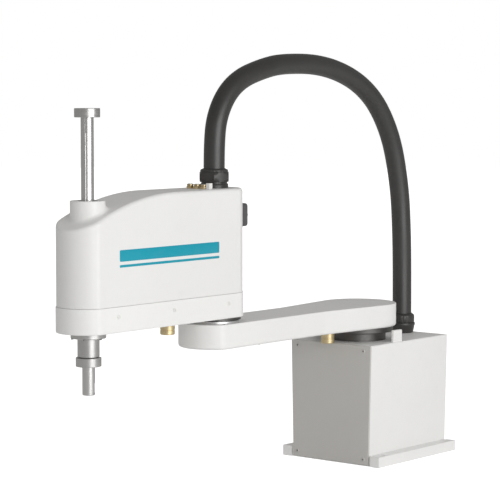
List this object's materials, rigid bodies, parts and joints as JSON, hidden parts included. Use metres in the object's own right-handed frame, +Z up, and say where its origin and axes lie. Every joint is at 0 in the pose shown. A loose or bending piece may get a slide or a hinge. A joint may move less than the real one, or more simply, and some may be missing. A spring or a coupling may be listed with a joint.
{
  "type": "scara robot arm",
  "caption": "Four-axis SCARA robot arm: box base, flat inner arm, tall covered outer arm, hollow vertical tool shaft with stop collars, and an arched hose.",
  "frame": {"origin": "where the first joint's vertical axis meets the mounting plane under the base", "axes": "+Z up along the first joint's axis; +X along both arms in their straight pose, towards the tool shaft; +Y to the left of the arms"},
  "size_m": [0.9215, 0.215, 0.7255],
  "materials": {
    "white_paint": "satin white powder coat on cast aluminium",
    "cover_white": "satin white moulded cover",
    "front_plate_grey": "satin light grey powder coat on sheet",
    "screw_steel": "zinc plated",
    "connector_black": "dark grey moulded nylon",
    "connector_shell": "tin plated",
    "brass": "turned and plated",
    "motor_black": "black anodised housing",
    "reducer_steel": "dark phosphated steel",
    "machined_aluminium": "machined",
    "ground_steel": "ground",
    "belt_rubber": "matt",
    "seal_rubber": "matt",
    "gland_black": "moulded nylon",
    "hose_black": "smooth flexible conduit, semi-matt",
    "button_white": "moulded"
  },
  "bodies": {
    "base": {"base_casting": "white_paint", "base_front_plate": "front_plate_grey", "base_rear_panel": "white_paint", "front_plate_screws": "screw_steel", "rear_panel_screws": "screw_steel", "power_connector": "connector_black", "signal_connector": "connector_shell", "service_connector": "connector_shell", "base_air_fittings": "brass", "j1_stop_block": "white_paint", "j1_motor": "motor_black", "j1_circular_spline": "reducer_steel", "base_hose_gland": "gland_black", "hose_lower": "hose_black"},
    "j1_rotor": {"j1_wave_generator": "reducer_steel"},
    "arm_1": {"arm_1_casting": "white_paint", "arm_1_bottom_cover": "white_paint", "arm_1_cover_screws": "screw_steel", "arm_1_brass_plug": "brass", "j1_flexspline": "reducer_steel", "j1_output_ring": "reducer_steel", "j1_stop_segment": "reducer_steel", "j2_output_flange": "machined_aluminium", "j2_flexspline": "reducer_steel", "hose_upper": "hose_black"},
    "j2_rotor": {"j2_wave_generator": "reducer_steel"},
    "arm_2": {"arm_2_casting": "white_paint", "arm_2_cover": "cover_white", "side_screws_left": "screw_steel", "side_screws_right": "screw_steel", "arm_2_bumper": "brass", "j2_circular_spline": "reducer_steel", "j2_motor": "motor_black", "turn_motor": "motor_black", "lift_motor": "motor_black", "turn_motor_bracket": "machined_aluminium", "lift_motor_bracket": "machined_aluminium", "turn_belt": "belt_rubber", "lift_belt": "belt_rubber", "arm_2_circuit_board": "connector_black", "board_bracket": "machined_aluminium", "arm_hose_gland": "gland_black", "arm_2_air_fittings": "brass", "arm_2_rear_connector": "connector_black", "spline_nut_housing": "ground_steel", "housing_bolts": "screw_steel", "shaft_seal": "seal_rubber"},
    "brake_button": {"brake_release_button": "button_white"},
    "turn_motor_rotor": {"turn_motor_pulley": "machined_aluminium"},
    "lift_motor_rotor": {"lift_motor_pulley": "machined_aluminium"},
    "spline_nut": {"spline_nut": "ground_steel", "spline_nut_pulley": "machined_aluminium"},
    "ball_nut": {"ball_nut": "ground_steel", "ball_nut_pulley": "machined_aluminium"},
    "tool_shaft": {"tool_shaft": "ground_steel", "upper_stop_collar": "ground_steel", "lower_stop_collar": "ground_steel", "collar_screws": "screw_steel"}
  },
  "joints": [
    {"name": "j1_turn", "type": "hinge", "parent": "base", "child": "arm_1", "pos_m": [0, 0, 0.23], "axis": [0, 0, 1], "range_deg": [-132, 132], "deforming": ["hose_lower", "hose_upper"]},
    {"name": "j1_rotor_turn", "type": "hinge", "parent": "base", "child": "j1_rotor", "pos_m": [0, 0, 0.2], "axis": [0, 0, 1], "range_deg": [-6610, 6610]},
    {"name": "j2_turn", "type": "hinge", "parent": "arm_1", "child": "arm_2", "pos_m": [0.4, 0, 0.29], "axis": [0, 0, 1], "range_deg": [-145, 145], "deforming": ["hose_upper"]},
    {"name": "j2_rotor_turn", "type": "hinge", "parent": "arm_2", "child": "j2_rotor", "pos_m": [0.4, 0, 0.3], "axis": [0, 0, 1], "range_deg": [-7260, 7260]},
    {"name": "j4_turn", "type": "hinge", "parent": "arm_2", "child": "spline_nut", "pos_m": [0.7, 0, 0.3], "axis": [0, 0, 1], "range_deg": [-360, 360]},
    {"name": "turn_motor_spin", "type": "hinge", "parent": "arm_2", "child": "turn_motor_rotor", "pos_m": [0.5, 0, 0.324], "axis": [0, 0, 1], "range_deg": [-360, 360]},
    {"name": "j3_lift", "type": "slide", "parent": "spline_nut", "child": "tool_shaft", "axis": [0, 0, 1], "range_m": [-0.125, 0]},
    {"name": "ball_nut_spin", "type": "hinge", "parent": "spline_nut", "child": "ball_nut", "pos_m": [0.7, 0, 0.43], "axis": [0, 0, 1], "range_deg": [-2260, 10]},
    {"name": "lift_motor_spin", "type": "hinge", "parent": "arm_2", "child": "lift_motor_rotor", "pos_m": [0.6, 0, 0.43], "axis": [0, 0, 1], "range_deg": [-2260, 10]},
    {"name": "brake_button_press", "type": "slide", "parent": "arm_2", "child": "brake_button", "axis": [0, 0, 1], "range_m": [-0.003, 0], "stiffness_N_per_m": 300}
  ],
  "couplings": [
    {"joint": "j1_rotor_turn", "follows": "j1_turn", "ratio": 50},
    {"joint": "j2_rotor_turn", "follows": "j2_turn", "ratio": 50},
    {"joint": "turn_motor_spin", "follows": "j4_turn", "ratio": 1},
    {"joint": "ball_nut_spin", "follows": "j3_lift", "rad_per_m": 314.16},
    {"joint": "lift_motor_spin", "follows": "j3_lift", "rad_per_m": 314.16}
  ]
}
